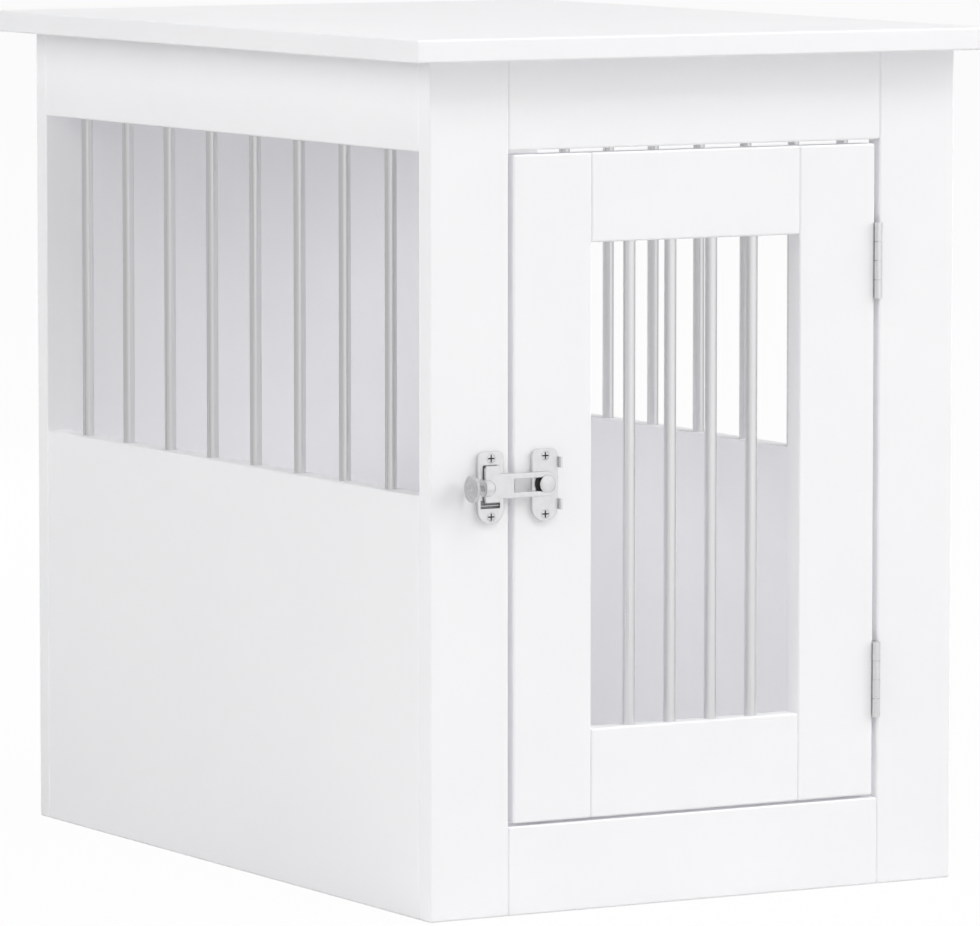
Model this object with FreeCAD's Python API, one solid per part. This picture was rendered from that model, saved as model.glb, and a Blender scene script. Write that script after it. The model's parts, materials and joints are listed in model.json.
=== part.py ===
"""White dog crate end table: a boarded crate with steel bars, a hinged door and a swing-bar latch.

All sizes are in millimetres.  +X runs to the right along the front, +Y to the back, +Z up.
The origin lies on the floor, under the middle of the table top.
"""

import FreeCAD, Part
import os

Vector = FreeCAD.Vector

os.makedirs("parts", exist_ok=True)

same_place = 0.001              # two planes closer than this are one

# ---------------------------------------------------------------- driving dimensions

# boards
board = 15.0                    # thickness of every board of the crate
body_width = 403.0              # outside of the left side to outside of the right side
body_depth = 570.0              # front face of the frame to rear face of the back panel
body_height = 560.0             # floor to the underside of the table top
top_thickness = 15.0
top_overhang = 20.0             # table top past the body, on all four sides
strip_width = 58.8              # width of the stiles and rails of the frame and the door
side_panel_height = 278.0       # solid lower part of each side
floor_panel_z = 10.0            # underside of the floor panel above the ground
edge_round = 1.5                # rounded arrises of the boards

# bars
bar_radius = 4.0
side_bar_count = 8
side_bar_inset = 65.2           # first and last side bar from the front and rear faces
door_bar_count = 4
door_bar_inset = 33.0           # outer door bars from the door's stiles
bar_socket_depth = 12.0         # how far a bar goes into each board
bar_socket_clearance = 0.1      # round a bar in its socket

# door
door_gap_side = 3.8
door_gap_top = 2.8
door_gap_bottom = 2.0

# butt hinges
hinge_height = 51.0
hinge_inset = 78.0              # door end to the middle of a hinge
hinge_leaf = 1.4                # leaf thickness
hinge_leaf_depth = 11.0         # leaf width on the board's edge
hinge_barrel_radius = 2.7
hinge_axis_out = 1.6            # pin axis in front of the door's face
hinge_knuckle_count = 4
hinge_knuckle_gap = 0.3
hinge_pin_radius = 1.25
hinge_pin_clearance = 0.05
hinge_barrel_clearance = 0.4    # other leaf's edge to a knuckle
hinge_screw_spacing = 30.0
hinge_screw_radius = 1.5
hinge_screw_head_radius = 2.7
hinge_screw_length = 16.0

# latch
latch_z = 283.5                 # height of the swing bar's pivot
plate_width = 19.6
plate_height = 47.4
plate_drop = 0.8                # middle of the plates and their screws under the pivot
plate_top_round = 4.5           # corners of a plate: small at the top, nearly half-round at the bottom
plate_bottom_round = 9.5
plate_thickness = 2.6
frame_plate_x = 44.2            # middle of the frame plate from the body's left side
door_plate_x = 84.9             # middle of the door plate, and the pivot stud, from the left side
plate_screw_spacing = 38.2
plate_screw_radius = 1.8
plate_screw_head_radius = 3.4
plate_screw_length = 13.5
screw_slot_length = 4.4         # cross recess of the screws
screw_slot_width = 1.0
screw_slot_depth = 1.2
screw_clearance = 0.05

swing_gap = 0.3                 # running gap of the swing bar over the plates and under the stud head
swing_thickness = 2.7
swing_half_height = 8.1
swing_head_length = 11.4        # T-shaped head at the free end
swing_head_above = 13.7
swing_head_below = 10.5
swing_head_round = 2.5          # upper corner of the head's free end
swing_reach = 46.5              # pivot to the end of the head
slot_length = 24.8              # slot of the swing bar, from the pivot towards the head
slot_half_height = 4.25
swing_round = 0.7

stud_slot_clearance = 0.1
stud_head_radius = 6.0
stud_head_height = 1.7
stud_tail_radius = 2.5
stud_pocket_radius = 8.0
stud_pocket_depth = 1.6

window_margin_side = 0.6        # window of the frame plate past the head, to the left
window_under_head = 1.0         # window's right end, short of the head's
window_margin_above = 0.6
sill_margin_left = 2.0          # wider opening under the head, past the head's ends
sill_margin_right = 1.2
sill_margin_below = 4.0
sill_overlap = 1.5              # how far it reaches up behind the head

tab_thickness = 1.4             # two upright tabs that stop the swing bar
tab_height = 7.0
tab_middle = 13.75              # pivot height to a tab's middle
tab_rise = 3.2                  # tab above the door plate

knob_radius = 9.0
knob_thickness = 2.6
knob_dish_radius = 7.6          # hollow in the knob's outer face
knob_dish_depth = 1.3
knob_to_barrel = 6.9            # back of the knob to the barrel that its stem slides in
barrel_radius = 5.5
barrel_length = 4.6
barrel_wall = 0.8               # closed end, towards the knob
barrel_gap = 0.2                # barrel to the swing bar's face
barrel_to_head = 0.4            # barrel's mouth short of the head's end
web_thickness = 2.4             # upright web that joins the barrel to the frame plate
web_half_width = 4.6
nose_radius = 4.7
nose_round = 3.6                # domed end of the nose
nose_clearance = 0.1            # round the nose in the barrel's bore
nose_cover = 3.3                # how far the nose reaches over the head
stem_radius = 2.0
stem_clearance = 0.05

# hidden fixings
dowel_radius = 4.0
dowel_in_face = 10.0
dowel_in_edge = 20.0
fixing_clearance = 0.05
cam_radius = 7.5
cam_depth = 12.0
cam_from_edge = 34.0
cam_bolt_radius = 3.0
cam_bolt_in_face = 10.0
cam_slot_depth = 2.0
cam_slot_width = 2.0
cam_slot_length = 9.0
panel_cam_levels = (0.2, 0.8)   # cams of a side panel, as shares of its height
panel_dowel_level = 0.5
rail_cam_level = 0.3            # cam and dowel of a side rail, as shares of its width
rail_dowel_level = 0.75
strip_dowel_levels = (0.25, 0.75)   # dowels of a front or door rail, as shares of its width

# ---------------------------------------------------------------- places worked out from them

half_width = body_width / 2
half_depth = body_depth / 2
front_y = -half_depth                           # front face of the frame and the door
inner_front_y = front_y + board
inner_back_y = half_depth - board
inner_x = half_width - board
board_middle_x = half_width - board / 2         # bars and fixings run in the middle of a board
front_middle_y = front_y + board / 2
back_middle_y = half_depth - board / 2

stile_inner_x = half_width - strip_width
top_rail_z = body_height - strip_width          # underside of the top rails
door_half_width = stile_inner_x - door_gap_side
door_bottom_z = strip_width + door_gap_bottom
door_top_z = top_rail_z - door_gap_top
door_stile_inner_x = door_half_width - strip_width
window_bottom_z = door_bottom_z + strip_width
window_top_z = door_top_z - strip_width

side_bar_pitch = (body_depth - 2 * side_bar_inset) / (side_bar_count - 1)
door_bar_pitch = 2 * (door_stile_inner_x - door_bar_inset) / (door_bar_count - 1)

hinge_x = stile_inner_x - door_gap_side / 2
hinge_y = front_y - hinge_axis_out
hinge_levels = {"upper": door_top_z - hinge_inset, "lower": door_bottom_z + hinge_inset}

pivot_x = -half_width + door_plate_x
plate_middle_z = latch_z - plate_drop
plate_face_y = front_y - plate_thickness
swing_back_y = plate_face_y - swing_gap
swing_face_y = swing_back_y - swing_thickness
head_end_x = pivot_x - swing_reach
head_right_x = head_end_x + swing_head_length
knob_y = swing_face_y - barrel_gap - barrel_radius
nose_end_x = head_end_x + nose_cover
barrel_right_x = head_end_x - barrel_to_head
barrel_left_x = barrel_right_x - barrel_length
knob_right_x = barrel_left_x - knob_to_barrel
knob_left_x = knob_right_x - knob_thickness

AXES = {"x": Vector(1, 0, 0), "y": Vector(0, 1, 0), "z": Vector(0, 0, 1)}


# ---------------------------------------------------------------- small shape helpers

def block(x_from, x_to, y_from, y_to, z_from, z_to):
    """A plain box between two corners."""
    return Part.makeBox(x_to - x_from, y_to - y_from, z_to - z_from, Vector(x_from, y_from, z_from))


def rod(start, end, radius):
    """A cylinder between two points."""
    direction = end.sub(start)
    return Part.makeCylinder(radius, direction.Length, start, direction)


def soften(shape, radius):
    """Rounds every edge of a plain board or plate."""
    return shape.makeFillet(radius, shape.Edges)


def soften_facing(shape, radius, y):
    """Rounds the edges that lie in the plane Y = y."""
    boxes = [(edge, edge.BoundBox) for edge in shape.Edges]
    edges = [edge for edge, box in boxes if abs(box.YMin - y) + abs(box.YMax - y) < same_place]
    return shape.makeFillet(radius, edges)


def soften_rim(shape, radius, x):
    """Rounds the edges that lie in the plane X = x."""
    boxes = [(edge, edge.BoundBox) for edge in shape.Edges]
    edges = [edge for edge, box in boxes if abs(box.XMin - x) + abs(box.XMax - x) < same_place]
    return shape.makeFillet(radius, edges)


def round_corners(shape, radius, x_places, z):
    """Rounds the edges that run along Y at the given places of X, at the level z."""
    edges = []
    for edge in shape.Edges:
        box = edge.BoundBox
        level = abs(box.ZMin - z) + abs(box.ZMax - z) < same_place
        if level and any(abs(box.XMin - x) + abs(box.XMax - x) < same_place for x in x_places):
            edges.append(edge)
    return shape.makeFillet(radius, edges)


def cut_all(shape, tools):
    return shape.cut(Part.makeCompound(tools)).removeSplitter() if tools else shape


def export(shape, node):
    shape.exportStep(os.path.join("parts", node + ".step"))


# ---------------------------------------------------------------- hidden fixings

class Fixings:
    """Dowels or cam fittings of one moving body, and the holes that they need in its boards."""

    def __init__(self):
        self.dowels = []
        self.cam_bolts = []
        self.cam_discs = []
        self.holes = []

    def dowel(self, joint, direction):
        """A wood dowel through the joint plane; direction points into the board's face."""
        start = joint.sub(direction * dowel_in_edge)
        end = joint.add(direction * dowel_in_face)
        self.dowels.append(rod(start, end, dowel_radius))
        self.holes.append(rod(start, end, dowel_radius + fixing_clearance))

    def cam(self, joint, direction, inward):
        """A cam disc in the inner face of one board and its bolt, screwed into the next board."""
        centre = joint.sub(direction * cam_from_edge)
        bolt_end = joint.add(direction * cam_bolt_in_face)
        mouth = centre.add(inward * (board / 2))
        floor = mouth.sub(inward * cam_depth)
        across = direction.cross(inward)
        bolt_way = rod(centre, bolt_end, cam_bolt_radius + fixing_clearance)
        slot = Part.makeBox(cam_slot_length, cam_slot_width, cam_slot_depth)
        slot.translate(Vector(-cam_slot_length / 2, -cam_slot_width / 2, -cam_slot_depth))
        face = FreeCAD.Placement(mouth, FreeCAD.Rotation(across, direction, inward))
        slot.Placement = face.multiply(slot.Placement)
        self.cam_bolts.append(rod(centre, bolt_end, cam_bolt_radius))
        self.cam_discs.append(rod(floor, mouth, cam_radius).cut(bolt_way).cut(slot))
        self.holes.append(bolt_way)
        self.holes.append(rod(floor, mouth, cam_radius + fixing_clearance))


cabinet = Fixings()
door = Fixings()


def place_cabinet_fixings():
    """Cams and dowels that hold the boards of the crate together."""
    for side in (-1, 1):
        inward = AXES["x"] * -side
        side_x = side * board_middle_x
        for end in (-1, 1):
            outward = AXES["y"] * end
            joint_y = end * inner_back_y
            for level in panel_cam_levels:
                cabinet.cam(Vector(side_x, joint_y, level * side_panel_height), outward, inward)
            cabinet.dowel(Vector(side_x, joint_y, panel_dowel_level * side_panel_height), outward)
            rail_cam_z = top_rail_z + rail_cam_level * strip_width
            rail_dowel_z = top_rail_z + rail_dowel_level * strip_width
            cabinet.cam(Vector(side_x, joint_y, rail_cam_z), outward, inward)
            cabinet.dowel(Vector(side_x, joint_y, rail_dowel_z), outward)
            cabinet.cam(Vector(side_x, end * 2 * side_bar_pitch, body_height), AXES["z"], inward)
            cabinet.dowel(Vector(side_x, end * side_bar_pitch, body_height), AXES["z"])
            floor_joint = Vector(side * inner_x, end * 2 * side_bar_pitch, floor_panel_z + board / 2)
            cabinet.cam(floor_joint, AXES["x"] * side, AXES["z"] * -1)
        for level in strip_dowel_levels:
            for rail_z in (0.0, top_rail_z):
                joint = Vector(side * stile_inner_x, front_middle_y, rail_z + level * strip_width)
                cabinet.dowel(joint, AXES["x"] * side)
        quarter_x = side * inner_x / 2
        cabinet.dowel(Vector(quarter_x, front_middle_y, body_height), AXES["z"])
        cabinet.dowel(Vector(quarter_x, back_middle_y, body_height), AXES["z"])
        for end in (-1, 1):
            joint = Vector(quarter_x, end * inner_back_y, floor_panel_z + board / 2)
            cabinet.dowel(joint, AXES["y"] * end)


def place_door_fixings():
    """Two dowels at each end of the door's rails."""
    for side in (-1, 1):
        for rail_z in (door_bottom_z, window_top_z):
            for level in strip_dowel_levels:
                joint = Vector(side * door_stile_inner_x, front_middle_y, rail_z + level * strip_width)
                door.dowel(joint, AXES["x"] * side)


place_cabinet_fixings()
place_door_fixings()


# ---------------------------------------------------------------- bars

def spread(count, pitch):
    """Places of a row of bars on both sides of the middle."""
    first = -pitch * (count - 1) / 2
    return [first + index * pitch for index in range(count)]


def side_bar_places(side):
    return [Vector(side * board_middle_x, y, 0) for y in spread(side_bar_count, side_bar_pitch)]


def door_bar_places():
    return [Vector(x, front_middle_y, 0) for x in spread(door_bar_count, door_bar_pitch)]


def bar(place, z_from, z_to, radius):
    """A bar that ends in sockets below z_from and above z_to."""
    start = place.add(Vector(0, 0, z_from - bar_socket_depth))
    end = place.add(Vector(0, 0, z_to + bar_socket_depth))
    return rod(start, end, radius)


def bar_sockets(places, z_from, z_to):
    return [bar(place, z_from, z_to, bar_radius + bar_socket_clearance) for place in places]


# ---------------------------------------------------------------- screws

def screw(tip, head, radius, head_radius):
    """A countersunk screw; head is the middle of its flat head, tip the end of its thread."""
    direction = head.sub(tip).normalize()
    cone_height = head_radius - radius
    neck = head.sub(direction * cone_height)
    cone = Part.makeCone(radius, head_radius, cone_height, neck, direction)
    return rod(tip, neck, radius).fuse(cone).removeSplitter()


def cross_recess(head, direction):
    """The cross-shaped recess in a screw's head."""
    helper = AXES["z"] if abs(direction.z) < 0.5 else AXES["x"]
    frame = FreeCAD.Placement(head, FreeCAD.Rotation(direction.cross(helper), helper, direction))
    arms = []
    for length, width in ((screw_slot_length, screw_slot_width), (screw_slot_width, screw_slot_length)):
        arm = Part.makeBox(length, width, screw_slot_depth)
        arm.translate(Vector(-length / 2, -width / 2, -screw_slot_depth))
        arm.Placement = frame.multiply(arm.Placement)
        arms.append(arm)
    return arms[0].fuse(arms[1])


def plate_screw_points(middle_x):
    """Head and tip of the two screws of a latch plate."""
    points = []
    for side in (-1, 1):
        head = Vector(middle_x, plate_face_y, plate_middle_z + side * plate_screw_spacing / 2)
        points.append((head.add(Vector(0, plate_screw_length, 0)), head))
    return points


def hinge_screw_points(side, level):
    """Head and tip of the two screws of a leaf; side is -1 on the door and 1 on the frame."""
    head_x = hinge_x + side * (door_gap_side / 2 - hinge_leaf)
    head_y = hinge_y + hinge_barrel_radius + hinge_barrel_clearance + hinge_leaf_depth / 2
    points = []
    for offset in (-hinge_screw_spacing / 2, hinge_screw_spacing / 2):
        head = Vector(head_x, head_y, level + offset)
        points.append((head.add(Vector(side * hinge_screw_length, 0, 0)), head))
    return points


def hinge_screw_group(side):
    return [point for level in hinge_levels.values() for point in hinge_screw_points(side, level)]


def plate_screws(points):
    shapes = []
    for tip, head in points:
        body = screw(tip, head, plate_screw_radius, plate_screw_head_radius)
        shapes.append(body.cut(cross_recess(head, Vector(0, -1, 0))))
    return shapes


def plate_screw_holes(points):
    return [screw(tip, head, plate_screw_radius + screw_clearance, plate_screw_head_radius + screw_clearance)
            for tip, head in points]


def hinge_screws(points):
    return [screw(tip, head, hinge_screw_radius, hinge_screw_head_radius) for tip, head in points]


def hinge_screw_holes(points):
    return [screw(tip, head, hinge_screw_radius + screw_clearance, hinge_screw_head_radius + screw_clearance)
            for tip, head in points]


frame_plate_screws = plate_screw_points(-half_width + frame_plate_x)
door_plate_screws = plate_screw_points(pivot_x)
frame_hinge_screws = hinge_screw_group(1)
door_hinge_screws = hinge_screw_group(-1)


# ---------------------------------------------------------------- boards of the crate

def front_strip(x_from, x_to, z_from, z_to):
    """A board in the plane of the front frame and the door."""
    return block(x_from, x_to, front_y, inner_front_y, z_from, z_to)


def between_ends(x_from, x_to, z_from, z_to):
    """A board that runs from the front frame to the back panel."""
    return block(x_from, x_to, inner_front_y, inner_back_y, z_from, z_to)


def make_boards():
    """The crate's boards, each rounded on its edges and then drilled."""
    floor_top_z = floor_panel_z + board
    top_x = half_width + top_overhang
    top_y = half_depth + top_overhang
    boards = {
        "table_top": block(-top_x, top_x, -top_y, top_y, body_height, body_height + top_thickness),
        "floor_panel": between_ends(-inner_x, inner_x, floor_panel_z, floor_top_z),
        "back_panel": block(-half_width, half_width, inner_back_y, half_depth, 0, body_height),
        "front_stile_left": front_strip(-half_width, -stile_inner_x, 0, body_height),
        "front_stile_right": front_strip(stile_inner_x, half_width, 0, body_height),
        "front_top_rail": front_strip(-stile_inner_x, stile_inner_x, top_rail_z, body_height),
        "front_bottom_rail": front_strip(-stile_inner_x, stile_inner_x, 0, strip_width),
        "side_top_rail_left": between_ends(-half_width, -inner_x, top_rail_z, body_height),
        "side_top_rail_right": between_ends(inner_x, half_width, top_rail_z, body_height),
        "side_panel_left": between_ends(-half_width, -inner_x, 0, side_panel_height),
        "side_panel_right": between_ends(inner_x, half_width, 0, side_panel_height),
    }
    sockets = bar_sockets(side_bar_places(-1) + side_bar_places(1), side_panel_height, top_rail_z)
    screw_holes = plate_screw_holes(frame_plate_screws) + hinge_screw_holes(frame_hinge_screws)
    for node, shape in boards.items():
        export(drill(soften(shape, edge_round), cabinet.holes + sockets + screw_holes), node)


def drill(board_shape, holes):
    """Takes away only the holes that reach into this board."""
    box = board_shape.BoundBox
    near = [hole for hole in holes if box.intersect(hole.BoundBox)]
    return cut_all(board_shape, near)


def make_side_bars():
    for name, side in (("left", -1), ("right", 1)):
        for index, place in enumerate(side_bar_places(side), start=1):
            export(bar(place, side_panel_height, top_rail_z, bar_radius), f"side_bar_{name}_{index}")


# ---------------------------------------------------------------- door

def make_door():
    """Two stiles, two rails and the bars of the door."""
    inner = door_stile_inner_x
    outer = door_half_width
    boards = {
        "door_latch_stile": front_strip(-outer, -inner, door_bottom_z, door_top_z),
        "door_hinge_stile": front_strip(inner, outer, door_bottom_z, door_top_z),
        "door_top_rail": front_strip(-inner, inner, window_top_z, door_top_z),
        "door_bottom_rail": front_strip(-inner, inner, door_bottom_z, window_bottom_z),
    }
    sockets = bar_sockets(door_bar_places(), window_bottom_z, window_top_z)
    screw_holes = plate_screw_holes(door_plate_screws) + hinge_screw_holes(door_hinge_screws)
    for node, shape in boards.items():
        export(drill(soften(shape, edge_round), door.holes + sockets + screw_holes), node)
    for index, place in enumerate(door_bar_places(), start=1):
        export(bar(place, window_bottom_z, window_top_z, bar_radius), f"door_bar_{index}")


# ---------------------------------------------------------------- hinges

def hinge_half(side, level, first_knuckle):
    """One leaf with every second knuckle; side is -1 on the door and 1 on the frame."""
    bottom = level - hinge_height / 2
    seat_x = hinge_x + side * door_gap_side / 2
    face_x = seat_x - side * hinge_leaf
    leaf_y = hinge_y + hinge_barrel_radius + hinge_barrel_clearance
    left = min(seat_x, face_x)
    right = max(seat_x, face_x)
    half = block(left, right, leaf_y, leaf_y + hinge_leaf_depth, bottom, bottom + hinge_height)
    pitch = hinge_height / hinge_knuckle_count
    for index in range(first_knuckle, hinge_knuckle_count, 2):
        low = bottom + index * pitch + hinge_knuckle_gap / 2
        high = bottom + (index + 1) * pitch - hinge_knuckle_gap / 2
        knuckle = rod(Vector(hinge_x, hinge_y, low), Vector(hinge_x, hinge_y, high), hinge_barrel_radius)
        half = half.fuse(knuckle).fuse(block(left, right, hinge_y, leaf_y, low, high))
    hole_radius = hinge_pin_radius + hinge_pin_clearance
    top = bottom + hinge_height
    pin_hole = rod(Vector(hinge_x, hinge_y, bottom), Vector(hinge_x, hinge_y, top), hole_radius)
    holes = hinge_screw_holes(hinge_screw_points(side, level))
    return cut_all(half.removeSplitter(), [pin_hole] + holes)


def make_hinges():
    for name, level in hinge_levels.items():
        export(hinge_half(1, level, 0), f"{name}_hinge_frame_leaf")
        export(hinge_half(-1, level, 1), f"{name}_hinge_door_leaf")
        low = Vector(hinge_x, hinge_y, level - hinge_height / 2)
        high = Vector(hinge_x, hinge_y, level + hinge_height / 2)
        export(rod(low, high, hinge_pin_radius), f"{name}_hinge_pin")
    export(Part.makeCompound(hinge_screws(frame_hinge_screws)), "hinge_screws_frame")
    export(Part.makeCompound(hinge_screws(door_hinge_screws)), "hinge_screws_door")


# ---------------------------------------------------------------- latch

def latch_plate(middle_x):
    """A plate with small round corners at the top and a nearly half-round bottom."""
    sides = (middle_x - plate_width / 2, middle_x + plate_width / 2)
    bottom = plate_middle_z - plate_height / 2
    top = plate_middle_z + plate_height / 2
    plate = block(sides[0], sides[1], plate_face_y, front_y, bottom, top)
    plate = round_corners(plate, plate_top_round, sides, top)
    plate = round_corners(plate, plate_bottom_round, sides, bottom)
    return soften_facing(plate, swing_round, plate_face_y)


def make_swing_bar():
    """A flat bar with a T-shaped head, slotted over the stud that it turns on."""
    back = swing_back_y
    face = swing_face_y
    head_bottom = latch_z - swing_head_below
    slot_bottom = latch_z - slot_half_height
    slot_top = latch_z + slot_half_height
    head_top = latch_z + swing_head_above
    head = block(head_end_x, head_right_x, face, back, head_bottom, head_top)
    head = round_corners(head, swing_head_round, (head_end_x,), head_top)
    arm = block(head_right_x, pivot_x, face, back, latch_z - swing_half_height, latch_z + swing_half_height)
    eye = rod(Vector(pivot_x, back, latch_z), Vector(pivot_x, face, latch_z), swing_half_height)
    slot = block(pivot_x - slot_length, pivot_x, face, back, slot_bottom, slot_top)
    slot_end = rod(Vector(pivot_x, back, latch_z), Vector(pivot_x, face, latch_z), slot_half_height)
    bar_shape = head.fuse(arm).fuse(eye).removeSplitter().cut(slot.fuse(slot_end))
    return soften_facing(bar_shape.removeSplitter(), swing_round, face)


def make_stud():
    """The headed pivot, riveted through the web of the door plate's pocket."""
    pocket_y = plate_face_y + stud_pocket_depth
    head_y = swing_face_y - swing_gap
    shank_radius = slot_half_height - stud_slot_clearance
    tail = rod(Vector(pivot_x, front_y, latch_z), Vector(pivot_x, pocket_y, latch_z), stud_tail_radius)
    shank = rod(Vector(pivot_x, pocket_y, latch_z), Vector(pivot_x, head_y, latch_z), shank_radius)
    crown_y = head_y - stud_head_height
    head = rod(Vector(pivot_x, head_y, latch_z), Vector(pivot_x, crown_y, latch_z), stud_head_radius)
    return tail.fuse(shank).fuse(soften_facing(head, swing_round, crown_y)).removeSplitter()


def make_door_plate():
    """The plate on the door: a pocket round the stud and two upright tabs."""
    plate = latch_plate(pivot_x)
    edge_x = pivot_x + plate_width / 2
    foot_y = plate_face_y + swing_round
    tab_y = plate_face_y - tab_rise
    for side in (-1, 1):
        low = latch_z + side * tab_middle - tab_height / 2
        high = low + tab_height
        foot = block(edge_x - tab_thickness, edge_x, foot_y, front_y, low, high)
        tab = block(edge_x, edge_x + tab_thickness, tab_y, front_y, low, high)
        plate = plate.fuse(foot).fuse(tab)
    mouth = Vector(pivot_x, plate_face_y, latch_z)
    pocket = rod(mouth, mouth.add(Vector(0, stud_pocket_depth, 0)), stud_pocket_radius)
    tail_hole = rod(mouth, Vector(pivot_x, front_y, latch_z), stud_tail_radius)
    return cut_all(plate.removeSplitter(), [pocket, tail_hole] + plate_screw_holes(door_plate_screws))


def make_frame_plate():
    """The plate on the frame: a window behind the head and a barrel that the nose slides in."""
    middle_x = -half_width + frame_plate_x
    low = latch_z - web_half_width
    high = latch_z + web_half_width
    web_right_x = barrel_left_x + web_thickness
    foot = block(barrel_left_x, middle_x, plate_face_y, front_y, low, high)
    web = block(barrel_left_x, web_right_x, knob_y, front_y, low, high)
    barrel_start = Vector(barrel_left_x, knob_y, latch_z)
    bore_start = Vector(barrel_left_x + barrel_wall, knob_y, latch_z)
    barrel_end = Vector(barrel_right_x, knob_y, latch_z)
    barrel = rod(barrel_start, barrel_end, barrel_radius)
    plate = latch_plate(middle_x).fuse(foot).fuse(web).fuse(barrel).removeSplitter()
    head_bottom = latch_z - swing_head_below
    window_left = head_end_x - window_margin_side
    window_right = head_right_x - window_under_head
    window_high = latch_z + swing_head_above + window_margin_above
    window = block(window_left, window_right, plate_face_y, front_y, head_bottom, window_high)
    sill_left = head_end_x - sill_margin_left
    sill_right = head_right_x + sill_margin_right
    sill_low = head_bottom - sill_margin_below
    sill = block(sill_left, sill_right, plate_face_y, front_y, sill_low, head_bottom + sill_overlap)
    bore = rod(bore_start, barrel_end, nose_radius + nose_clearance)
    stem_hole = rod(barrel_start, barrel_end, stem_radius + stem_clearance)
    return cut_all(plate, [window, sill, bore, stem_hole] + plate_screw_holes(frame_plate_screws))


def make_pull_knob():
    """A dished disc to pull, a stem through the barrel and a round nose that keeps the head down."""
    knob_left = Vector(knob_left_x, knob_y, latch_z)
    knob_right = Vector(knob_right_x, knob_y, latch_z)
    nose_start = Vector(barrel_right_x, knob_y, latch_z)
    nose_end = Vector(nose_end_x, knob_y, latch_z)
    knob = soften_rim(rod(knob_left, knob_right, knob_radius), swing_round, knob_left_x)
    knob = soften_rim(knob, swing_round, knob_right_x)
    ball_radius = (knob_dish_radius ** 2 + knob_dish_depth ** 2) / (2 * knob_dish_depth)
    ball_x = knob_left_x + knob_dish_depth - ball_radius
    knob = knob.cut(Part.makeSphere(ball_radius, Vector(ball_x, knob_y, latch_z)))
    stem = rod(knob_right, nose_start, stem_radius)
    nose = soften_rim(rod(nose_start, nose_end, nose_radius), nose_round, nose_end_x)
    return knob.fuse(stem).fuse(nose).removeSplitter()


def make_latch():
    export(make_swing_bar(), "latch_swing_bar")
    export(make_stud(), "latch_stud")
    export(make_door_plate(), "latch_door_plate")
    export(make_frame_plate(), "latch_frame_plate")
    export(make_pull_knob(), "latch_pull_knob")
    export(Part.makeCompound(plate_screws(frame_plate_screws)), "latch_screws_frame")
    export(Part.makeCompound(plate_screws(door_plate_screws)), "latch_screws_door")


def make_fixings():
    export(Part.makeCompound(cabinet.dowels), "cabinet_dowels")
    export(Part.makeCompound(cabinet.cam_bolts), "cam_bolts")
    export(Part.makeCompound(cabinet.cam_discs), "cam_discs")
    export(Part.makeCompound(door.dowels), "door_dowels")


make_boards()
make_side_bars()
make_door()
make_hinges()
make_latch()
make_fixings()
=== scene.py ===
# %% [markdown]
# # A white dog crate end table
#
# The crate is a small cabinet of white boards.  Steel bars fill the upper part of its sides and the
# window of its door, and a swing-bar latch keeps the door shut.  The CAD model gives every solid its
# exact place, and this lesson dresses it: finishes for the boards and metals, the small turned pieces
# of the latch, the lining behind its bar, soft light, a floor and the camera.

# %% Load the fixed frame
import json
import math

import bmesh
import bpy
from mathutils import Matrix, Vector


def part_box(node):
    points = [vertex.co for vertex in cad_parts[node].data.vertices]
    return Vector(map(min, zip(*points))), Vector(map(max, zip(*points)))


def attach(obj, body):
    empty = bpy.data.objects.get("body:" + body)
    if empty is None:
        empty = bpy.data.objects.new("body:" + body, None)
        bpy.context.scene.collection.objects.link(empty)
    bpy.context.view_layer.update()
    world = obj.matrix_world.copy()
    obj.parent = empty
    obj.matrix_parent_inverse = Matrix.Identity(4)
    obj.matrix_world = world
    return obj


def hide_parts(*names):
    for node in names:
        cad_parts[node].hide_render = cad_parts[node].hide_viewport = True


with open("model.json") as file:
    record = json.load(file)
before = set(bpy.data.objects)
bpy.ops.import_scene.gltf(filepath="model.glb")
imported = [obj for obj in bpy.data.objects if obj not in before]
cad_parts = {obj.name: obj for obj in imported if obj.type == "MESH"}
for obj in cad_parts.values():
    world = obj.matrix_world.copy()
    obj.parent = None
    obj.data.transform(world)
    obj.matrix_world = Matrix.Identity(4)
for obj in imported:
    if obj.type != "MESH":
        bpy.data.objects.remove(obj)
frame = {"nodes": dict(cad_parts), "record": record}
bpy.context.view_layer.update()
nodes_by_name = frame["nodes"]

# %% [markdown]
# ## The camera
#
# The photograph was taken with a long lens from the front left, a little above the table top, so the
# upright edges stay almost parallel.  A camera can be aimed with a constraint at a target.  Here its
# place, heading and tilt are given as numbers instead, because they were measured from the straight
# edges of the photograph.  The lens follows from the distance in pixels between the eye and the picture.

# %% Camera
picture_width_px = 980
sensor_width_mm = 36.0
eye_distance_px = 7601.7
camera_place = Vector((-2.59408, -4.55308, 0.77206))
camera_heading = math.radians(29.7302)
camera_tilt = math.radians(5.5017)
farthest_seen = 60.0


def add_object(name, data):
    """Puts a mesh, a lamp or a camera into the scene as an object."""
    made = bpy.data.objects.new(name, data)
    bpy.context.scene.collection.objects.link(made)
    return made


camera_data = bpy.data.cameras.new("photo_camera")
camera_data.sensor_fit = "HORIZONTAL"
camera_data.sensor_width = sensor_width_mm
camera_data.lens = eye_distance_px / picture_width_px * sensor_width_mm
camera_data.clip_end = farthest_seen
camera = add_object("photo_camera", camera_data)
camera.location = camera_place
camera.rotation_euler = (math.pi / 2 - camera_tilt, 0.0, -camera_heading)
bpy.context.scene.camera = camera
print("lens in mm:", round(camera_data.lens, 1))

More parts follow.
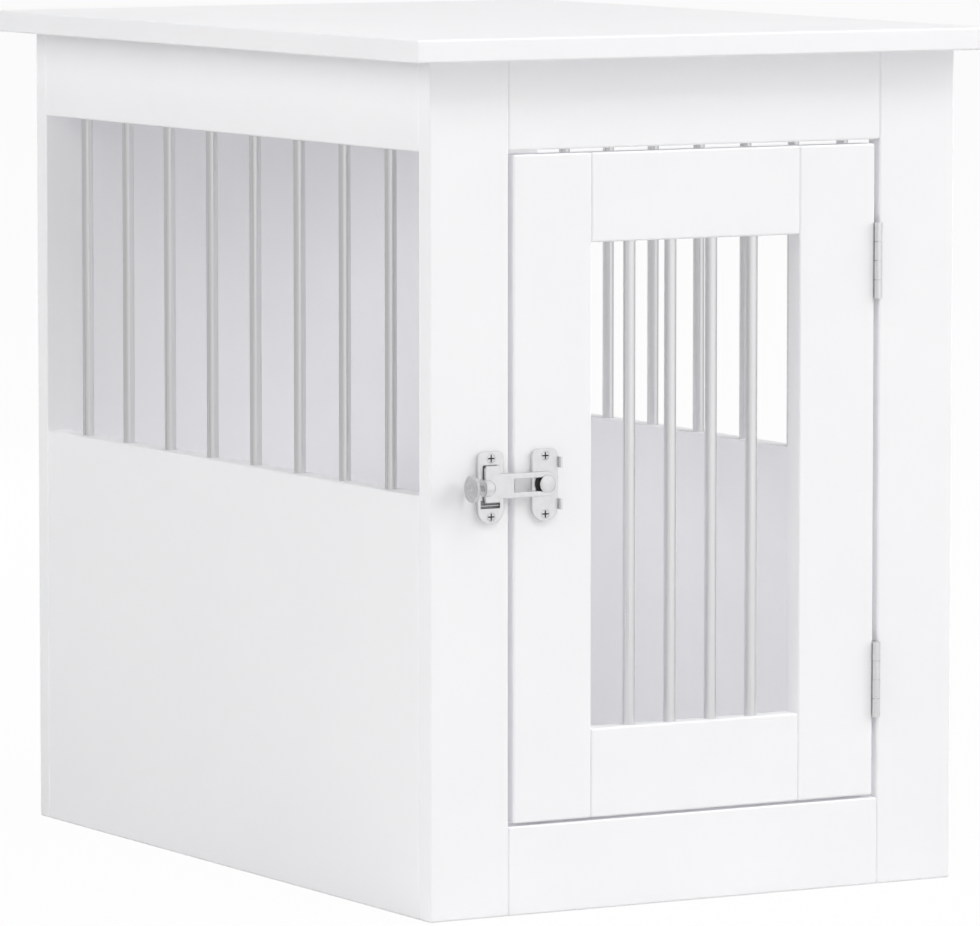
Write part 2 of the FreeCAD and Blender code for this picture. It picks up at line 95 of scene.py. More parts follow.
# %% [markdown]
# ## Light
#
# The studio is bright all round.  One large lamp stands in front, high up and a little to the right: it
# draws the shadow under the table top.  A broad light on the left fills the side, and one on the right
# shines through the bars into the cabin.  Two weaker ones fill the front, one lights the table top, and
# a small one behind keeps the back from turning grey.  A picture of a studio could light the crate as
# well, but lamps can be moved and dimmed one by one.
#
# The white boards pass the light on many times, so the bounces are set high.  Only the eye, mirrored
# rays and rays through glass see a white backdrop, which lights nothing by itself.  The metal doesn't
# mirror the lamps, which keeps its sheen soft.

# %% World
board_bounces = 16
all_bounces = 20
surround_tone = (0.985, 0.985, 1.0, 1.0)
surround_strength = 0.02
backdrop_tone = (1.0, 1.0, 1.0, 1.0)
backdrop_strength = 1.0


def bare_tree(owner):
    """The emptied node tree of a world or a material."""
    owner.use_nodes = True
    owner.node_tree.nodes.clear()
    return owner.node_tree


bpy.context.scene.cycles.max_bounces = all_bounces
bpy.context.scene.cycles.diffuse_bounces = board_bounces
world = bpy.data.worlds.new("studio_surround")
bpy.context.scene.world = world
tree = bare_tree(world)
soft_light = tree.nodes.new("ShaderNodeBackground")
soft_light.inputs["Color"].default_value = surround_tone
soft_light.inputs["Strength"].default_value = surround_strength
backdrop = tree.nodes.new("ShaderNodeBackground")
backdrop.inputs["Color"].default_value = backdrop_tone
backdrop.inputs["Strength"].default_value = backdrop_strength
ray = tree.nodes.new("ShaderNodeLightPath")
seen_or_mirrored = tree.nodes.new("ShaderNodeMath")
seen_or_mirrored.operation = "MAXIMUM"
or_through_glass = tree.nodes.new("ShaderNodeMath")
or_through_glass.operation = "MAXIMUM"
choose = tree.nodes.new("ShaderNodeMixShader")
world_out = tree.nodes.new("ShaderNodeOutputWorld")
tree.links.new(ray.outputs["Is Camera Ray"], seen_or_mirrored.inputs[0])
tree.links.new(ray.outputs["Is Glossy Ray"], seen_or_mirrored.inputs[1])
tree.links.new(seen_or_mirrored.outputs[0], or_through_glass.inputs[0])
tree.links.new(ray.outputs["Is Transmission Ray"], or_through_glass.inputs[1])
tree.links.new(or_through_glass.outputs[0], choose.inputs["Fac"])
tree.links.new(soft_light.outputs[0], choose.inputs[1])
tree.links.new(backdrop.outputs[0], choose.inputs[2])
tree.links.new(choose.outputs[0], world_out.inputs["Surface"])
print("world:", world.name, "with bounces", all_bounces, "and on boards", board_bounces)

# %% Lamps
crate_middle = Vector((0.0, 0.0, 0.29))


def soft_box(name, heading_deg, height_deg, size, watts, distance=8.0):
    """A square lamp that faces the crate: heading 0 is the front, 90 the right; lengths in metres."""
    heading = math.radians(heading_deg)
    height = math.radians(height_deg)
    level = math.cos(height)
    out = Vector((math.sin(heading) * level, -math.cos(heading) * level, math.sin(height)))
    lamp_data = bpy.data.lights.new(name, "AREA")
    lamp_data.shape = "SQUARE"
    lamp_data.size = size
    lamp_data.energy = watts
    lamp = add_object(name, lamp_data)
    lamp.visible_glossy = False
    lamp.location = crate_middle + out * distance
    lamp.rotation_euler = out.to_track_quat("Z", "Y").to_euler()
    return lamp


lamps = [
    soft_box("key_lamp", heading_deg=14.0, height_deg=58.5, size=2.8, watts=209.0),
    soft_box("left_lamp", heading_deg=-92.0, height_deg=33.0, size=7.0, watts=400.0),
    soft_box("right_lamp", heading_deg=78.0, height_deg=20.0, size=6.0, watts=310.0),
    soft_box("fill_lamp", heading_deg=48.0, height_deg=26.0, size=5.0, watts=198.0),
    soft_box("near_left_lamp", heading_deg=-38.0, height_deg=20.0, size=6.0, watts=105.0),
    soft_box("top_lamp", heading_deg=0.0, height_deg=88.0, size=4.0, watts=66.0),
    soft_box("back_lamp", heading_deg=180.0, height_deg=0.0, size=0.5, watts=32.0, distance=3.0),
]
print("lamps:", [lamp.name for lamp in lamps])

# %% [markdown]
# ## What the metal mirrors
#
# Polished bars show whatever stands round them.  Lamps that show in the metal would give it thin hard
# lines.  A ring of paper that only mirrored rays can see gives each bar one broad bright side in front
# and grey flanks instead, which reads as a soft upright band of light.

# %% Mirror ring
ring_radius = 1.6
ring_height = 2.4
ring_segments = 96


def new_verts(made):
    """The vertices among what an extrusion made."""
    return [item for item in made["geom"] if isinstance(item, bmesh.types.BMVert)]


def into_mesh(name, shape):
    """Turns a bmesh into a mesh and frees it."""
    mesh = bpy.data.meshes.new(name)
    shape.to_mesh(mesh)
    shape.free()
    return mesh


ring_shape = bmesh.new()
bmesh.ops.create_circle(ring_shape, cap_ends=False, radius=ring_radius, segments=ring_segments)
raised = bmesh.ops.extrude_edge_only(ring_shape, edges=ring_shape.edges)
bmesh.ops.translate(ring_shape, vec=(0.0, 0.0, ring_height), verts=new_verts(raised))
ring_mesh = into_mesh("mirror_ring", ring_shape)
ring = add_object("mirror_ring", ring_mesh)
ring.visible_camera = False
ring.visible_diffuse = False
ring.visible_transmission = False
ring.visible_volume_scatter = False
ring.visible_shadow = False
print("mirror ring:", len(ring_mesh.polygons), "faces")

# %% Glow of the ring, brightest in front
brightest_heading = math.radians(12.0)
glow_narrowing = 1.5
dimmest_glow = 0.55
brightest_glow = 1.05

ring_paper = bpy.data.materials.new("mirror_ring_paper")
tree = bare_tree(ring_paper)
ring_place = tree.nodes.new("ShaderNodeTexCoord")
toward_light = tree.nodes.new("ShaderNodeVectorMath")
toward_light.operation = "DOT_PRODUCT"
toward_light.inputs[1].default_value = (
    math.sin(brightest_heading) / ring_radius, -math.cos(brightest_heading) / ring_radius, 0.0)
facing = tree.nodes.new("ShaderNodeMath")
facing.operation = "MAXIMUM"
facing.inputs[1].default_value = 0.0
narrowed = tree.nodes.new("ShaderNodeMath")
narrowed.operation = "POWER"
narrowed.inputs[1].default_value = glow_narrowing
brightness = tree.nodes.new("ShaderNodeMapRange")
brightness.inputs["To Min"].default_value = dimmest_glow
brightness.inputs["To Max"].default_value = brightest_glow
paper_glow = tree.nodes.new("ShaderNodeEmission")
ring_out = tree.nodes.new("ShaderNodeOutputMaterial")
tree.links.new(ring_place.outputs["Object"], toward_light.inputs[0])
tree.links.new(toward_light.outputs["Value"], facing.inputs[0])
tree.links.new(facing.outputs[0], narrowed.inputs[0])
tree.links.new(narrowed.outputs[0], brightness.inputs["Value"])
tree.links.new(brightness.outputs["Result"], paper_glow.inputs["Strength"])
tree.links.new(paper_glow.outputs[0], ring_out.inputs["Surface"])
ring_mesh.materials.append(ring_paper)
print("ring glow:", dimmest_glow, "to", brightest_glow)

# %% [markdown]
# ## Floor
#
# The crate stands on a plain white floor.  A matte plane alone would turn grey away from the lamps, so
# for the eye most of its tone is a plain white glow, and a little of the crate's shadow is left.  The
# light that bounces off it comes from the matte part alone.

# %% Floor
floor_half_width = 20.0
floor_drop = 0.0005
floor_tone = (0.74, 0.74, 0.74, 1.0)
seen_glow_share = 0.96

floor_shape = bmesh.new()
bmesh.ops.create_grid(floor_shape, x_segments=1, y_segments=1, size=floor_half_width)
floor_mesh = into_mesh("studio_floor", floor_shape)
floor = add_object("studio_floor", floor_mesh)
floor.location.z = -floor_drop

floor_finish = bpy.data.materials.new("studio_floor_white")
tree = bare_tree(floor_finish)
matte = tree.nodes.new("ShaderNodeBsdfDiffuse")
matte.inputs["Color"].default_value = floor_tone
glow = tree.nodes.new("ShaderNodeEmission")
glow.inputs["Strength"].default_value = 1.0
ray = tree.nodes.new("ShaderNodeLightPath")
part_of_glow = tree.nodes.new("ShaderNodeMath")
part_of_glow.operation = "MULTIPLY"
part_of_glow.inputs[1].default_value = seen_glow_share
blend = tree.nodes.new("ShaderNodeMixShader")
floor_out = tree.nodes.new("ShaderNodeOutputMaterial")
tree.links.new(ray.outputs["Is Camera Ray"], part_of_glow.inputs[0])
tree.links.new(part_of_glow.outputs[0], blend.inputs["Fac"])
tree.links.new(matte.outputs[0], blend.inputs[1])
tree.links.new(glow.outputs[0], blend.inputs[2])
tree.links.new(blend.outputs[0], floor_out.inputs["Surface"])
floor_mesh.materials.append(floor_finish)
print("floor:", 2 * floor_half_width, "m wide")

# %% [markdown]
# ## Finishes
#
# A single colour and a single roughness look like plastic straight from the computer.  Real surfaces
# wander a little, so each finish here is a Principled shader with noise in its tone, its roughness and
# its height.  The noise reads the object's own coordinates, so it stays put when a piece moves.


# %% Helpers that build a finish
def new_finish(name, roughness, metallic=0.0):
    """A material with its Principled shader and the object's own coordinates."""
    finish = bpy.data.materials.new(name)
    finish.use_nodes = True
    shader = finish.node_tree.nodes["Principled BSDF"]
    shader.inputs["Roughness"].default_value = roughness
    shader.inputs["Metallic"].default_value = metallic
    place = finish.node_tree.nodes.new("ShaderNodeTexCoord").outputs["Object"]
    return finish, shader, place


def stretch(finish, place, scale):
    """Object coordinates scaled along each axis."""
    mapping = finish.node_tree.nodes.new("ShaderNodeMapping")
    mapping.inputs["Scale"].default_value = scale
    finish.node_tree.links.new(place, mapping.inputs["Vector"])
    return mapping.outputs["Vector"]


def noise(finish, place, scale, detail=2.0):
    """Noise at a scale per metre."""
    texture = finish.node_tree.nodes.new("ShaderNodeTexNoise")
    texture.inputs["Scale"].default_value = scale
    texture.inputs["Detail"].default_value = detail
    finish.node_tree.links.new(place, texture.inputs["Vector"])
    return texture.outputs["Fac"]


def tint(finish, shader, pattern, dark, light):
    """Colours the surface between two tones by a pattern."""
    ramp = finish.node_tree.nodes.new("ShaderNodeValToRGB")
    ramp.color_ramp.elements[0].position = 0.35
    ramp.color_ramp.elements[1].position = 0.65
    ramp.color_ramp.elements[0].color = (*dark, 1.0)
    ramp.color_ramp.elements[1].color = (*light, 1.0)
    finish.node_tree.links.new(pattern, ramp.inputs["Fac"])
    finish.node_tree.links.new(ramp.outputs["Color"], shader.inputs["Base Color"])


def vary_roughness(finish, shader, pattern, low, high):
    """Spreads the roughness between two values by a pattern."""
    spread = finish.node_tree.nodes.new("ShaderNodeMapRange")
    spread.inputs["From Min"].default_value = 0.3
    spread.inputs["From Max"].default_value = 0.7
    spread.inputs["To Min"].default_value = low
    spread.inputs["To Max"].default_value = high
    finish.node_tree.links.new(pattern, spread.inputs["Value"])
    finish.node_tree.links.new(spread.outputs["Result"], shader.inputs["Roughness"])


def emboss(finish, shader, pattern, height, strength):
    """Raises the surface by a pattern; height is in metres."""
    bump = finish.node_tree.nodes.new("ShaderNodeBump")
    bump.inputs["Strength"].default_value = strength
    bump.inputs["Distance"].default_value = height
    finish.node_tree.links.new(pattern, bump.inputs["Height"])
    finish.node_tree.links.new(bump.outputs["Normal"], shader.inputs["Normal"])


# %% [markdown]
# ### White board
#
# The boards are covered with white melamine paper.  A picture of such paper could be wrapped round
# them, but it would show its repeats on boards this plain.  Broad noise lets the tone wander by one part
# in sixty, and very fine noise gives the orange peel that breaks up the sheen.

# %% White board
white_board, shader, place = new_finish("white_melamine", roughness=0.42)
shader.inputs["Specular IOR Level"].default_value = 0.35
clouds = noise(white_board, place, scale=7.0, detail=3.0)
tint(white_board, shader, clouds, dark=(0.93, 0.93, 0.942), light=(0.945, 0.945, 0.955))
patches = noise(white_board, place, scale=28.0, detail=3.0)
vary_roughness(white_board, shader, patches, low=0.38, high=0.5)
orange_peel = noise(white_board, place, scale=900.0)
emboss(white_board, shader, orange_peel, height=0.00002, strength=0.6)
print("finish:", white_board.name)

# %% [markdown]
# ### Steel and nickel
#
# Drawn bars and hinge knuckles carry faint lines along their length, so their noise is stretched that
# way.  An anisotropic shader can do the same, but it needs tangents that a CAD mesh doesn't have.  The
# latch is cast, so its noise is even in all directions.  The contrast stays low: the mirrored ring
# draws the bright and the dark side, and stronger noise would make blotches.

# %% Satin steel of the bars
bar_steel, shader, place = new_finish("satin_steel_bar", roughness=0.3, metallic=1.0)
along_bar = stretch(bar_steel, place, scale=(900.0, 900.0, 6.0))
draw_lines = noise(bar_steel, along_bar, scale=1.0, detail=3.0)
tint(bar_steel, shader, draw_lines, dark=(0.77, 0.77, 0.78), light=(0.8, 0.8, 0.81))
vary_roughness(bar_steel, shader, draw_lines, low=0.26, high=0.36)
emboss(bar_steel, shader, draw_lines, height=0.000003, strength=0.3)
print("finish:", bar_steel.name)

# %% Nickel of the latch
latch_metal, shader, place = new_finish("satin_nickel_casting", roughness=0.34, metallic=1.0)
cast_clouds = noise(latch_metal, place, scale=260.0, detail=4.0)
tint(latch_metal, shader, cast_clouds, dark=(0.76, 0.76, 0.77), light=(0.8, 0.8, 0.81))
cast_patches = noise(latch_metal, place, scale=600.0, detail=3.0)
vary_roughness(latch_metal, shader, cast_patches, low=0.28, high=0.42)
cast_grain = noise(latch_metal, place, scale=2400.0)
emboss(latch_metal, shader, cast_grain, height=0.000008, strength=0.3)
print("finish:", latch_metal.name)

# %% Nickel of the hinges
hinge_metal, shader, place = new_finish("satin_nickel_hinge", roughness=0.3, metallic=1.0)
along_pin = stretch(hinge_metal, place, scale=(1500.0, 1500.0, 30.0))
pin_lines = noise(hinge_metal, along_pin, scale=1.0)
tint(hinge_metal, shader, pin_lines, dark=(0.77, 0.77, 0.78), light=(0.81, 0.81, 0.82))
vary_roughness(hinge_metal, shader, noise(hinge_metal, place, scale=400.0), low=0.27, high=0.33)
emboss(hinge_metal, shader, pin_lines, height=0.000001, strength=0.2)
print("finish:", hinge_metal.name)

# %% Plated steel of the screws
screw_steel, shader, place = new_finish("plated_screw", roughness=0.32, metallic=1.0)
plating = noise(screw_steel, place, scale=900.0, detail=3.0)
tint(screw_steel, shader, plating, dark=(0.6, 0.6, 0.61), light=(0.78, 0.78, 0.79))
vary_roughness(screw_steel, shader, noise(screw_steel, place, scale=1500.0), low=0.24, high=0.4)
print("finish:", screw_steel.name)

# %% [markdown]
# ### Hidden fixings
#
# Wood dowels and zinc cams hold the boards together.  The dowels don't show and the cams' faces show
# only from the sides, through the bars.  They still get the finish of the real thing, for whoever takes
# the crate apart: stretched noise for the beech's grain, and coarse noise for the cast zinc.

# %% Beech of the dowels
dowel_wood, shader, place = new_finish("beech_dowel", roughness=0.6)
along_grain = stretch(dowel_wood, place, scale=(700.0, 160.0, 700.0))
grain = noise(dowel_wood, along_grain, scale=1.0, detail=4.0)
tint(dowel_wood, shader, grain, dark=(0.46, 0.3, 0.17), light=(0.62, 0.44, 0.27))
pores = noise(dowel_wood, along_grain, scale=1.0, detail=3.0)
emboss(dowel_wood, shader, pores, height=0.00005, strength=0.5)
print("finish:", dowel_wood.name)

# %% Zinc of the cams
cam_zinc, shader, place = new_finish("die_cast_zinc", roughness=0.42, metallic=1.0)
zinc_clouds = noise(cam_zinc, place, scale=500.0, detail=4.0)
tint(cam_zinc, shader, zinc_clouds, dark=(0.42, 0.42, 0.44), light=(0.6, 0.6, 0.62))
zinc_patches = noise(cam_zinc, place, scale=900.0, detail=3.0)
vary_roughness(cam_zinc, shader, zinc_patches, low=0.36, high=0.55)
emboss(cam_zinc, shader, noise(cam_zinc, place, scale=1800.0), height=0.00004, strength=0.5)
print("finish:", cam_zinc.name)

# %% Every CAD node gets its finish
finish_of_slot = {
    "white_board": white_board,
    "bar_steel": bar_steel,
    "latch_metal": latch_metal,
    "hinge_metal": hinge_metal,
    "screw_steel": screw_steel,
    "dowel_wood": dowel_wood,
    "cam_zinc": cam_zinc,
}
for part in frame["record"]["subparts"]:
    for material_slot in nodes_by_name[part["node"]].material_slots:
        material_slot.material = finish_of_slot[part["material_slot"]]

# %% [markdown]
# ## Turned pieces of the latch
#
# The pull knob, the pivot stud and the screws are round.  They could be stacked from cylinders, as the
# CAD solids are, but then their edges stay sharp and flat.  Here each is a profile that is spun about
# its own axis, as on a lathe.  A profile is a short list of distances along the axis and radii, and
# extra points round its corners off.  Where a piece goes is read from the box of the CAD node that it
# stands for.
#
# The knob's disc and stem, and the rib under the bar's head, take a darker nickel: painted shade for the
# shade these spots show.  Recesses are lined with dark finishes, painted shade, because soft light from
# all round would otherwise fill them.

# %% Painted-shade finishes for the knob and for recesses
# Darker nickel: painted shade on the knob's disc and stem and on the rib.
painted_shade_nickel, shader, place = new_finish("painted_shade_nickel_finish", roughness=0.34, metallic=1.0)
knob_clouds = noise(painted_shade_nickel, place, scale=500.0, detail=4.0)
tint(painted_shade_nickel, shader, knob_clouds, dark=(0.6, 0.6, 0.61), light=(0.7, 0.7, 0.71))
knob_patches = noise(painted_shade_nickel, place, scale=900.0, detail=3.0)
vary_roughness(painted_shade_nickel, shader, knob_patches, low=0.26, high=0.42)
emboss(painted_shade_nickel, shader, noise(painted_shade_nickel, place, scale=2400.0), height=0.000008, strength=0.3)

# Black painted shade for the screw crosses, the stud's shank and the ring round the stud.
painted_shade_black, shader, place = new_finish("painted_shade_black_recess", roughness=0.6, metallic=0.4)
shade_black_mottle = noise(painted_shade_black, place, scale=700.0, detail=3.0)
tint(painted_shade_black, shader, shade_black_mottle, dark=(0.07, 0.07, 0.074), light=(0.12, 0.12, 0.126))
vary_roughness(painted_shade_black, shader, noise(painted_shade_black, place, scale=1200.0), low=0.5, high=0.75)

# Dark grey painted shade for the lining behind the bar's head.
painted_shade_grey, shader, place = new_finish("painted_shade_grey_recess", roughness=0.5, metallic=0.5)
shade_grey_mottle = noise(painted_shade_grey, place, scale=700.0, detail=3.0)
tint(painted_shade_grey, shader, shade_grey_mottle, dark=(0.33, 0.33, 0.335), light=(0.41, 0.41, 0.415))
vary_roughness(painted_shade_grey, shader, noise(painted_shade_grey, place, scale=1200.0), low=0.45, high=0.6)
print("finishes:", painted_shade_nickel.name, painted_shade_black.name, painted_shade_grey.name)

# %% A lathe, and what makes its work a piece
mm = 0.001
same_point = 0.000001
sharp_edge_deg = 38.0
fine_steps, plain_steps, screw_steps = 96, 72, 40
along_x, along_y, along_z = 0, 1, 2


def lathe(profile, origin, direction, steps):
    """Spins (along, radius) pairs, in millimetres, about a line through the origin, given in metres."""
    shape = bmesh.new()
    points = [shape.verts.new((radius * mm, 0.0, along * mm)) for along, radius in profile]
    line = [shape.edges.new(pair) for pair in zip(points, points[1:])]
    bmesh.ops.spin(shape, geom=points + line, cent=(0.0, 0.0, 0.0), axis=(0.0, 0.0, 1.0),
                   angle=math.tau, steps=steps, use_merge=True)
    bmesh.ops.remove_doubles(shape, verts=shape.verts, dist=same_point)
    bmesh.ops.recalc_face_normals(shape, faces=shape.faces)
    turn = Vector(direction).to_track_quat("Z", "Y").to_matrix().to_4x4()
    bmesh.ops.transform(shape, matrix=Matrix.Translation(origin) @ turn, verts=shape.verts)
    return shape


def second_finish(shape, axis, past):
    """Gives the second finish of a piece to the faces whose middle lies past a place on an axis."""
    for face in shape.faces:
        face.material_index = 1 if face.calc_center_median()[axis] > past else 0


def make_piece(name, shape, body, slot, finishes, *replaced):
    """Turns a bmesh into a piece of one body, which may stand for CAD nodes."""
    mesh = into_mesh(name, shape)
    mesh.shade_smooth()
    mesh.set_sharp_from_angle(angle=math.radians(sharp_edge_deg))
    for finish in finishes:
        mesh.materials.append(finish)
    piece = add_object(name, mesh)
    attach(piece, body)
    if replaced:
        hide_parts(*replaced)
    print(name, "has", len(mesh.polygons), "faces")


# %% Pull knob: a dished disc, a stem and a domed nose
knob_low, knob_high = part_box("latch_pull_knob")
knob_start = Vector((knob_low[0], (knob_low[1] + knob_high[1]) / 2, (knob_low[2] + knob_high[2]) / 2))
disc_face = [
    (1.75, 0.0), (1.72, 0.7), (1.35, 1.3), (1.22, 2.4), (0.92, 4.2), (0.5, 5.8), (0.14, 7.1), (0.0, 7.9),
]
disc_rim = [(0.02, 8.4), (0.25, 8.8), (0.7, 9.0), (1.9, 9.0), (2.35, 8.8), (2.6, 8.3)]
stem = [(2.6, 3.4), (3.2, 2.7), (4.2, 2.0), (14.1, 2.0)]
nose = [
    (14.1, 4.4), (14.3, 4.66), (14.8, 4.7), (15.6, 4.6), (16.5, 4.1), (17.2, 3.2), (17.65, 1.9),
    (17.8, 0.0),
]
plain_nickel_from = 13.0
knob_shape = lathe(disc_face + disc_rim + stem + nose, knob_start, (1.0, 0.0, 0.0), fine_steps)
# The disc and stem take the darker nickel as painted shade; the nose keeps the latch finish.
second_finish(knob_shape, along_x, past=knob_start.x + plain_nickel_from * mm)
make_piece("pull_knob", knob_shape, "latch_knob", "latch_metal", [painted_shade_nickel, latch_metal],
           "latch_pull_knob")

# %% Pivot stud: a low crown, and under it a shank and tail in black painted shade
stud_low, stud_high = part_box("latch_stud")
stud_start = Vector(((stud_low[0] + stud_high[0]) / 2, stud_low[1], (stud_low[2] + stud_high[2]) / 2))
crown = [
    (0.0, 0.0), (0.03, 1.8), (0.14, 3.4), (0.36, 4.8), (0.75, 5.7), (1.15, 6.0), (1.5, 5.95), (1.7, 5.7),
]
shank = [(1.7, 4.15), (6.6, 4.15)]
tail = [(6.6, 2.5), (7.6, 2.5), (7.6, 0.0)]
plain_nickel_to = 1.65
stud_shape = lathe(crown + shank + tail, stud_start, (0.0, 1.0, 0.0), fine_steps)
# The crown keeps the latch finish; the shank and tail take black painted shade.
second_finish(stud_shape, along_y, past=stud_start.y + plain_nickel_to * mm)
make_piece("pivot_stud", stud_shape, "door", "latch_metal", [latch_metal, painted_shade_black], "latch_stud")

# %% A black ring of painted shade that lines the pocket round the stud
plate_thickness = 2.6
shade_ring_hole_radius, shade_ring_radius = 4.25, 6.6
shade_ring_front, shade_ring_back = 1.0, 1.55
shade_ring_bevel = 0.2
pocket_mouth = Vector((stud_start.x, stud_high[1] - plate_thickness * mm, stud_start.z))
shade_ring_profile = [
    (shade_ring_back, shade_ring_hole_radius), (shade_ring_back, shade_ring_radius),
    (shade_ring_front + shade_ring_bevel, shade_ring_radius), (shade_ring_front, shade_ring_radius - shade_ring_bevel),
    (shade_ring_front, shade_ring_hole_radius), (shade_ring_back, shade_ring_hole_radius),
]
shade_ring_shape = lathe(shade_ring_profile, pocket_mouth, (0.0, 1.0, 0.0), plain_steps)
# The black ring is painted shade for the dark gap round the stud, not a washer.
make_piece("stud_pocket_shade_ring", shade_ring_shape, "door", "latch_metal", [painted_shade_black])

# %% [markdown]
# ## Screws of the latch plates
#
# Each plate is held by two countersunk screws with a cross recess.  The body is turned, thread and all.
# The recess could be modelled face by face, but a cut keeps the head's dome.  It is made with the
# Boolean modifier by a tapered cross: one outline, extruded and drawn in at its deep end.  The cut faces
# keep the cutter's black finish, painted shade for the shadow that a real recess holds.

# %% The tapered cross that cuts the recess
recess_length = 5.4
recess_width = 1.0
recess_depth = 1.3
cutter_rise = 0.4
deep_end_share = 0.5


def recess_cutter(head):
    """A cross that stands a little over the screw's head and narrows to half its size inside it."""
    arm, half = recess_length / 2 * mm, recess_width / 2 * mm
    corners = [
        (half, arm), (half, half), (arm, half), (arm, -half), (half, -half), (half, -arm),
        (-half, -arm), (-half, -half), (-arm, -half), (-arm, half), (-half, half), (-half, arm),
    ]
    shape = bmesh.new()
    mouth = shape.faces.new([shape.verts.new((x, -cutter_rise * mm, z)) for x, z in corners])
    deep = new_verts(bmesh.ops.extrude_face_region(shape, geom=[mouth], use_keep_orig=True))
    bmesh.ops.translate(shape, vec=(0.0, (recess_depth + cutter_rise) * mm, 0.0), verts=deep)
    bmesh.ops.scale(shape, vec=(deep_end_share, 1.0, deep_end_share), verts=deep)
    bmesh.ops.recalc_face_normals(shape, faces=shape.faces)
    bmesh.ops.translate(shape, vec=head, verts=shape.verts)
    mesh = into_mesh("recess_cutter", shape)
    mesh.materials.append(painted_shade_black)
    return add_object("recess_cutter", mesh)


# %% Profile of a screw
screw_head_radius = 3.4
screw_head = [
    (-0.16, 0.0), (-0.14, 1.3), (-0.06, 2.5), (0.06, 3.2), (0.22, screw_head_radius), (0.4, 3.3),
    (1.75, 1.9),
]
thread_start = 2.0
thread_pitch = 1.3
thread_turns = 8
core_radius, crest_radius = 1.35, 1.8
flank_length, crest_length = 0.45, 0.15
screw_tip = [(12.6, 1.3), (13.5, 0.0)]

screw_profile = list(screw_head)
for turn_index in range(thread_turns):
    flank_start = thread_start + turn_index * thread_pitch
    crest_start = flank_start + flank_length
    screw_profile += [(flank_start, core_radius), (crest_start, crest_radius)]
    screw_profile += [(crest_start + crest_length, crest_radius)]
screw_profile += screw_tip
print("screw profile:", len(screw_profile), "points")


# %% One screw, cut out of its turned body
def cut_screw(head):
    """A bmesh of one screw with its recess; head is the middle of the head, in metres."""
    turned = into_mesh("screw_blank", lathe(screw_profile, head, (0.0, 1.0, 0.0), screw_steps))
    turned.materials.append(screw_steel)
    blank = add_object("screw_blank", turned)
    cutter = recess_cutter(head)
    cut = blank.modifiers.new("recess", "BOOLEAN")
    cut.operation = "DIFFERENCE"
    cut.solver = "EXACT"
    cut.material_mode = "TRANSFER"
    cut.object = cutter
    bpy.context.view_layer.update()
    ready = blank.evaluated_get(bpy.context.evaluated_depsgraph_get())
    cut_shape = bmesh.new()
    cut_shape.from_mesh(ready.to_mesh())
    ready.to_mesh_clear()
    for helper in (blank, cutter):
        bpy.data.objects.remove(helper)
    bmesh.ops.remove_doubles(cut_shape, verts=cut_shape.verts, dist=same_point)
    open_edges = [edge for edge in cut_shape.edges if not edge.is_manifold]
    print("screw edges that are open:", len(open_edges))
    return cut_shape


# %% The two screws of each plate
def screw_pair(name, body, node):
    """The upper and lower screw of a plate as one piece, in place of a CAD node."""
    low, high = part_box(node)
    middle_x = (low[0] + high[0]) / 2
    pair = bmesh.new()
    for z in (low[2] + screw_head_radius * mm, high[2] - screw_head_radius * mm):
        one_screw = into_mesh("one_screw", cut_screw(Vector((middle_x, low[1], z))))
        pair.from_mesh(one_screw)
        bpy.data.meshes.remove(one_screw)
    make_piece(name, pair, body, "screw_steel", [screw_steel, painted_shade_black], node)


screw_pair("frame_plate_screws", "cabinet", "latch_screws_frame")
screw_pair("door_plate_screws", "door", "latch_screws_door")

# %% [markdown]
# ## Window of the frame plate
#
# Behind the swing bar's head the plate has an opening, wider at its foot, which looks dark because
# little light gets in.  The white board behind it would shine through, so a dark grey tray lines it:
# painted shade.  A narrow rib crosses the part under the head and catches some light; its darker nickel
# is painted shade too.  The tray's outline is one face, extruded to a block and then hollowed by an
# inset and a second extrusion, which keeps it one closed shell.  Its uppermost part takes the plate's
# bright finish, a painted lit band over the painted shade below, so the slit over the head shows no dark
# line.

# %% Outline of the opening
head_length = 11.4
head_below_pivot = 10.5
opening_past_head = 0.6
opening_short_of_head = 1.0
sill_past_head_left = 2.0
sill_past_head_right = 1.2
sill_below_head = 4.0
sill_behind_head = 1.5
fit = 0.06

bar_low, bar_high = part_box("latch_swing_bar")
board_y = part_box("latch_frame_plate")[1][1]
pivot_z = stud_start.z
head_left, head_top = bar_low[0], bar_high[2]
head_right = head_left + head_length * mm
head_bottom = pivot_z - head_below_pivot * mm
opening_left = head_left - (opening_past_head - fit) * mm
opening_right = head_right - (opening_short_of_head + fit) * mm
opening_top = head_top + (opening_past_head - fit) * mm
sill_left = head_left - (sill_past_head_left - fit) * mm
sill_right = head_right + (sill_past_head_right - fit) * mm
sill_top = head_bottom + (sill_behind_head - fit) * mm
sill_bottom = head_bottom - (sill_below_head - fit) * mm
outline = [
    (sill_left, sill_bottom), (sill_right, sill_bottom), (sill_right, sill_top),
    (opening_right, sill_top), (opening_right, opening_top), (opening_left, opening_top),
    (opening_left, sill_top), (sill_left, sill_top),
]
print("opening in mm:", [(round(x / mm, 2), round(z / mm, 2)) for x, z in outline])

# %% The tray
tray_off_board = 0.02
tray_depth = 2.45
tray_wall = 0.22
tray_hollow = 2.1
bright_above_pivot = 10.8

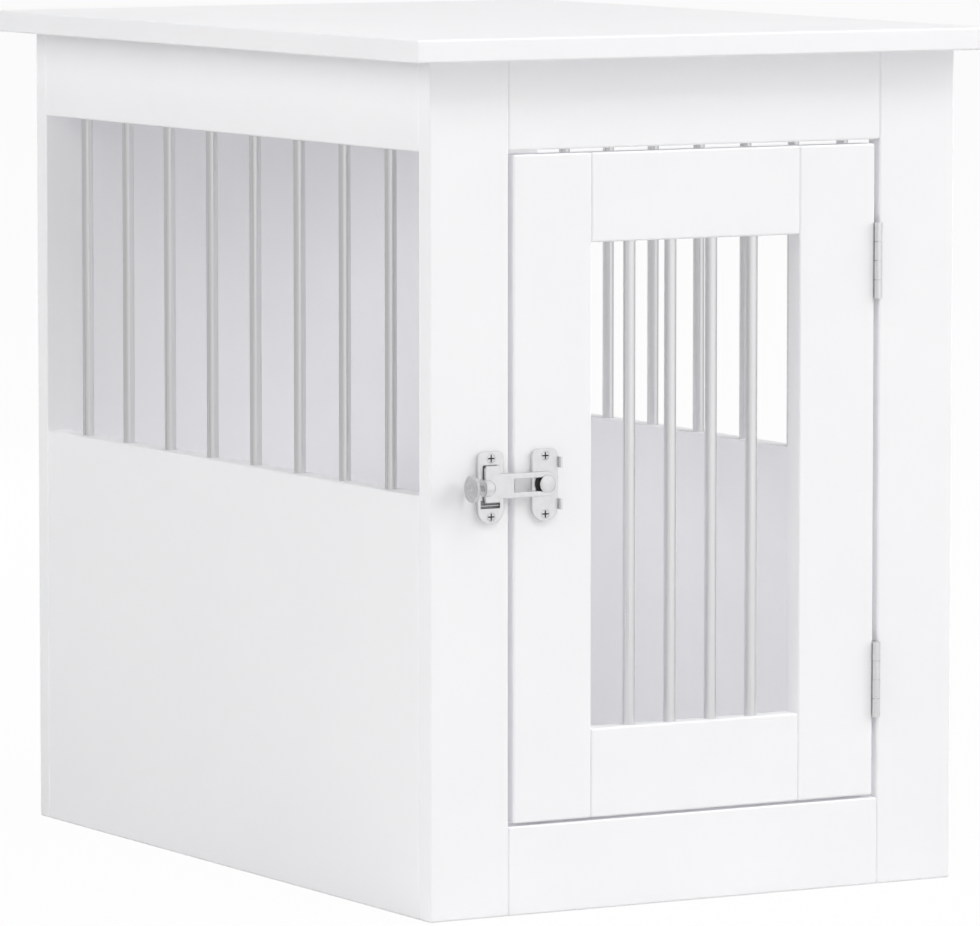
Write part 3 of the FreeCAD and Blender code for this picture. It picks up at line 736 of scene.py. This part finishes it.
tray_shape = bmesh.new()
back_y = board_y - tray_off_board * mm
tray_back = tray_shape.faces.new([tray_shape.verts.new((x, back_y, z)) for x, z in outline])
made = bmesh.ops.extrude_face_region(tray_shape, geom=[tray_back], use_keep_orig=True)
front_face = [item for item in made["geom"] if isinstance(item, bmesh.types.BMFace)][0]
bmesh.ops.translate(tray_shape, vec=(0.0, -tray_depth * mm, 0.0), verts=new_verts(made))
bmesh.ops.inset_region(tray_shape, faces=[front_face], thickness=tray_wall * mm, use_even_offset=True)
hollow = bmesh.ops.extrude_discrete_faces(tray_shape, faces=[front_face])["faces"][0]
bmesh.ops.translate(tray_shape, vec=(0.0, tray_hollow * mm, 0.0), verts=hollow.verts)
bright_from = pivot_z + bright_above_pivot * mm
bmesh.ops.bisect_plane(tray_shape, geom=tray_shape.verts[:] + tray_shape.edges[:] + tray_shape.faces[:],
                       plane_co=(0.0, 0.0, bright_from), plane_no=(0.0, 0.0, 1.0))
bmesh.ops.recalc_face_normals(tray_shape, faces=tray_shape.faces)
# Faces above the cut take the plate's finish: a painted lit band over the painted shade below.
second_finish(tray_shape, along_z, past=bright_from)
make_piece("window_shade_lining", tray_shape, "cabinet", "latch_metal", [painted_shade_grey, latch_metal])

# %% The rib under the head
rib_end_gap = 0.25
rib_depth = 1.7
rib_height = 0.7
rib_off_board = 1.15
rib_over_sill = 1.9
rib_rounding = 0.2


def round_over(shape, width, sharper_than_deg=30.0, segments=3):
    """Bevels the edges that are sharper than an angle; width is in millimetres."""
    limit = math.radians(sharper_than_deg)
    sharp = [edge for edge in shape.edges if edge.is_manifold and edge.calc_face_angle() > limit]
    bmesh.ops.bevel(shape, geom=sharp, offset=width * mm, offset_type="OFFSET", affect="EDGES",
                    segments=segments, profile=0.5, material=-1, clamp_overlap=True)


rib_shape = bmesh.new()
bmesh.ops.create_cube(rib_shape, size=1.0)
rib_size = (sill_right - sill_left - 2 * rib_end_gap * mm, rib_depth * mm, rib_height * mm)
rib_middle_z = sill_bottom + rib_over_sill * mm
rib_place = ((sill_left + sill_right) / 2, board_y - rib_off_board * mm, rib_middle_z)
bmesh.ops.scale(rib_shape, vec=rib_size, verts=rib_shape.verts)
bmesh.ops.translate(rib_shape, vec=rib_place, verts=rib_shape.verts)
round_over(rib_shape, rib_rounding)
# The rib takes the darker nickel, painted shade.
make_piece("window_rib", rib_shape, "cabinet", "latch_metal", [painted_shade_nickel])

# %% [markdown]
# ## Picture
#
# The Standard view keeps the whites as they are lit, where a film-like one would grey them.

# %% View settings
bpy.context.scene.view_settings.view_transform = "Standard"
print("view transform:", bpy.context.scene.view_settings.view_transform)

# %% Bring the scene up to date
bpy.context.view_layer.update()
